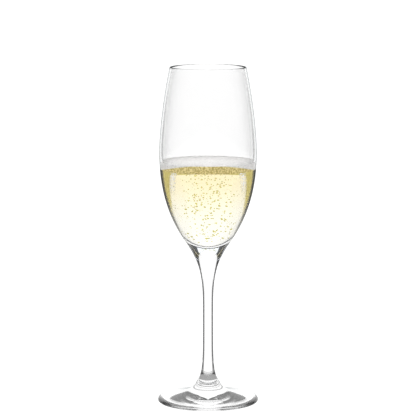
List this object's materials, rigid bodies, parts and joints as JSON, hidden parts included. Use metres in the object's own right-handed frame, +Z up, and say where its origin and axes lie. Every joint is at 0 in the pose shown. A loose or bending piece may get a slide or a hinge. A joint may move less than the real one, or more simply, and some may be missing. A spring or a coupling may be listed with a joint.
{
  "type": "champagne flute",
  "caption": "Tall tulip-shaped glass flute on a slim stem and round foot, holding sparkling wine under a thin layer of foam.",
  "frame": {"origin": "centre of the foot on the plane it rests on", "axes": "+Z up along the flute's axis from the foot to the rim; the flute is round, so X and Y are free"},
  "size_m": [0.0674, 0.0674, 0.225],
  "materials": {
    "bowl_glass": "clear, fire-polished",
    "stem_glass": "clear, drawn",
    "foot_glass": "clear, fire-polished",
    "sparkling_wine": null,
    "wine_foam": null
  },
  "bodies": {
    "root": {"bowl": "bowl_glass", "stem": "stem_glass", "foot": "foot_glass", "wine": "sparkling_wine", "foam": "wine_foam"}
  },
  "joints": []
}
